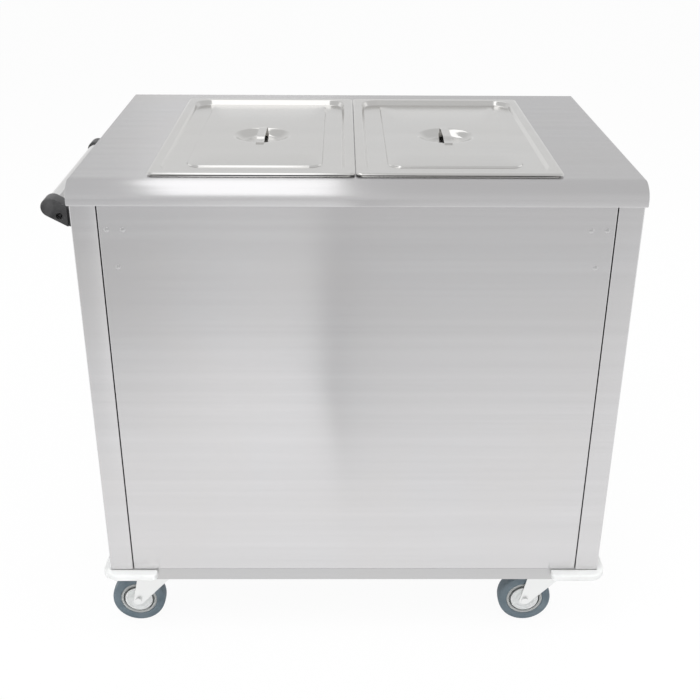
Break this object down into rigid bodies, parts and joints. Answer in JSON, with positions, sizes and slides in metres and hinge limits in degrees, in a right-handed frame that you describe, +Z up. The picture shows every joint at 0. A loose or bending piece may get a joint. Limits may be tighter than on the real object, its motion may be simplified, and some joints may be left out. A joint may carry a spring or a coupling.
{
  "type": "hostess trolley",
  "caption": "Stainless hostess trolley: heated cupboard with sliding doors, a two-pan well with lids in the top, push handle, corner bumpers and swivel castors.",
  "frame": {"origin": "on the floor, midway between the push handle and the far bumpers, on the cabinet's middle plane", "axes": "+Z up; +X to the right seen from the guest's side, away from the push handle; +Y away from the guest, towards the doors and dials"},
  "size_m": [0.979, 0.649, 0.8955],
  "materials": {
    "steel": "brushed stainless steel",
    "lid_steel": "satin pressed stainless steel",
    "base_steel": "plain stainless steel",
    "tube_steel": "polished stainless tube",
    "black_plastic": "moulded, fine grain",
    "bumper_plastic": "smooth moulded",
    "tyre_rubber": "blue-grey elastic tyre",
    "rim_plastic": "moulded nylon rim",
    "zinc": "bright zinc plating",
    "guard_plastic": "smooth moulded",
    "heater": "dull sheathed heater",
    "knob_plastic": "black phenolic",
    "lamp": "clear amber lens",
    "pedal_plastic": "zinc-plated pedal"
  },
  "bodies": {
    "cabinet": {"worktop": "steel", "front_panel": "steel", "panel_rivets": "steel", "left_end_panel": "steel", "right_end_panel": "steel", "base_frame": "base_steel", "cable_gland": "black_plastic", "well_tank": "steel", "pan_support_bar": "steel", "well_element": "heater", "cupboard_element": "heater", "cupboard_liner": "steel", "middle_shelf": "steel", "door_tracks": "base_steel", "control_panel": "steel", "thermostats": "black_plastic", "pilot_lamps": "lamp", "switch_housing": "black_plastic", "handle_tube": "tube_steel", "handle_brackets": "black_plastic", "handle_screws": "zinc", "corner_bumpers": "bumper_plastic", "bumper_screws": "zinc", "castor_plates": "zinc", "castor_bolts": "zinc"},
    "switch_rocker": {"switch_rocker": "knob_plastic"},
    "well_knob": {"well_knob": "knob_plastic"},
    "cupboard_knob": {"cupboard_knob": "knob_plastic"},
    "left_pan": {"left_pan": "lid_steel"},
    "left_lid": {"left_lid": "lid_steel", "left_lid_handle": "lid_steel"},
    "left_door": {"left_door": "steel", "left_door_pull": "black_plastic"},
    "right_pan": {"right_pan": "lid_steel"},
    "right_lid": {"right_lid": "lid_steel", "right_lid_handle": "lid_steel"},
    "right_door": {"right_door": "steel", "right_door_pull": "black_plastic"},
    "front_left_castor": {"front_left_fork": "zinc", "front_left_guards": "guard_plastic", "front_left_axle": "zinc"},
    "front_left_wheel": {"front_left_tyre": "tyre_rubber", "front_left_rim": "rim_plastic"},
    "front_right_castor": {"front_right_fork": "zinc", "front_right_guards": "guard_plastic", "front_right_axle": "zinc"},
    "front_right_wheel": {"front_right_tyre": "tyre_rubber", "front_right_rim": "rim_plastic"},
    "rear_left_castor": {"rear_left_fork": "zinc", "rear_left_guards": "guard_plastic", "rear_left_axle": "zinc"},
    "rear_left_wheel": {"rear_left_tyre": "tyre_rubber", "rear_left_rim": "rim_plastic"},
    "rear_left_pedal": {"rear_left_brake_pedal": "pedal_plastic"},
    "rear_right_castor": {"rear_right_fork": "zinc", "rear_right_guards": "guard_plastic", "rear_right_axle": "zinc"},
    "rear_right_wheel": {"rear_right_tyre": "tyre_rubber", "rear_right_rim": "rim_plastic"},
    "rear_right_pedal": {"rear_right_brake_pedal": "pedal_plastic"}
  },
  "joints": [
    {"name": "left_pan_lift", "type": "slide", "parent": "cabinet", "child": "left_pan", "axis": [0, 0, 1], "range_m": [0, 0.25]},
    {"name": "left_lid_lift", "type": "slide", "parent": "left_pan", "child": "left_lid", "axis": [0, 0, 1], "range_m": [0, 0.15]},
    {"name": "left_door_slide", "type": "slide", "parent": "cabinet", "child": "left_door", "axis": [1, 0, 0], "range_m": [0, 0.385]},
    {"name": "right_pan_lift", "type": "slide", "parent": "cabinet", "child": "right_pan", "axis": [0, 0, 1], "range_m": [0, 0.25]},
    {"name": "right_lid_lift", "type": "slide", "parent": "right_pan", "child": "right_lid", "axis": [0, 0, 1], "range_m": [0, 0.15]},
    {"name": "right_door_slide", "type": "slide", "parent": "cabinet", "child": "right_door", "axis": [-1, 0, 0], "range_m": [0, 0.385]},
    {"name": "well_knob_turn", "type": "hinge", "parent": "cabinet", "child": "well_knob", "pos_m": [0.1415, 0.3115, 0.8], "axis": [0, 1, 0], "range_deg": [0, 270]},
    {"name": "cupboard_knob_turn", "type": "hinge", "parent": "cabinet", "child": "cupboard_knob", "pos_m": [0.2615, 0.3115, 0.8], "axis": [0, 1, 0], "range_deg": [0, 270]},
    {"name": "rocker_tip", "type": "hinge", "parent": "cabinet", "child": "switch_rocker", "pos_m": [0.3815, 0.3045, 0.8], "axis": [-1, 0, 0], "range_deg": [0, 16]},
    {"name": "front_left_swivel", "type": "hinge", "parent": "cabinet", "child": "front_left_castor", "pos_m": [-0.3385, -0.237, 0.127], "axis": [0, 0, 1], "continuous": true},
    {"name": "front_left_roll", "type": "hinge", "parent": "front_left_castor", "child": "front_left_wheel", "pos_m": [-0.3805, -0.237, 0.05], "axis": [0, 1, 0], "continuous": true},
    {"name": "front_right_swivel", "type": "hinge", "parent": "cabinet", "child": "front_right_castor", "pos_m": [0.4015, -0.237, 0.127], "axis": [0, 0, 1], "continuous": true},
    {"name": "front_right_roll", "type": "hinge", "parent": "front_right_castor", "child": "front_right_wheel", "pos_m": [0.3595, -0.237, 0.05], "axis": [0, 1, 0], "continuous": true},
    {"name": "rear_left_swivel", "type": "hinge", "parent": "cabinet", "child": "rear_left_castor", "pos_m": [-0.3385, 0.237, 0.127], "axis": [0, 0, 1], "continuous": true},
    {"name": "rear_left_roll", "type": "hinge", "parent": "rear_left_castor", "child": "rear_left_wheel", "pos_m": [-0.3805, 0.237, 0.05], "axis": [0, 1, 0], "continuous": true},
    {"name": "rear_left_brake", "type": "hinge", "parent": "rear_left_castor", "child": "rear_left_pedal", "pos_m": [-0.3645, 0.237, 0.11], "axis": [0, -1, 0], "range_deg": [0, 12]},
    {"name": "rear_right_swivel", "type": "hinge", "parent": "cabinet", "child": "rear_right_castor", "pos_m": [0.4015, 0.237, 0.127], "axis": [0, 0, 1], "continuous": true},
    {"name": "rear_right_roll", "type": "hinge", "parent": "rear_right_castor", "child": "rear_right_wheel", "pos_m": [0.3595, 0.237, 0.05], "axis": [0, 1, 0], "continuous": true},
    {"name": "rear_right_brake", "type": "hinge", "parent": "rear_right_castor", "child": "rear_right_pedal", "pos_m": [0.3755, 0.237, 0.11], "axis": [0, -1, 0], "range_deg": [0, 12]}
  ]
}
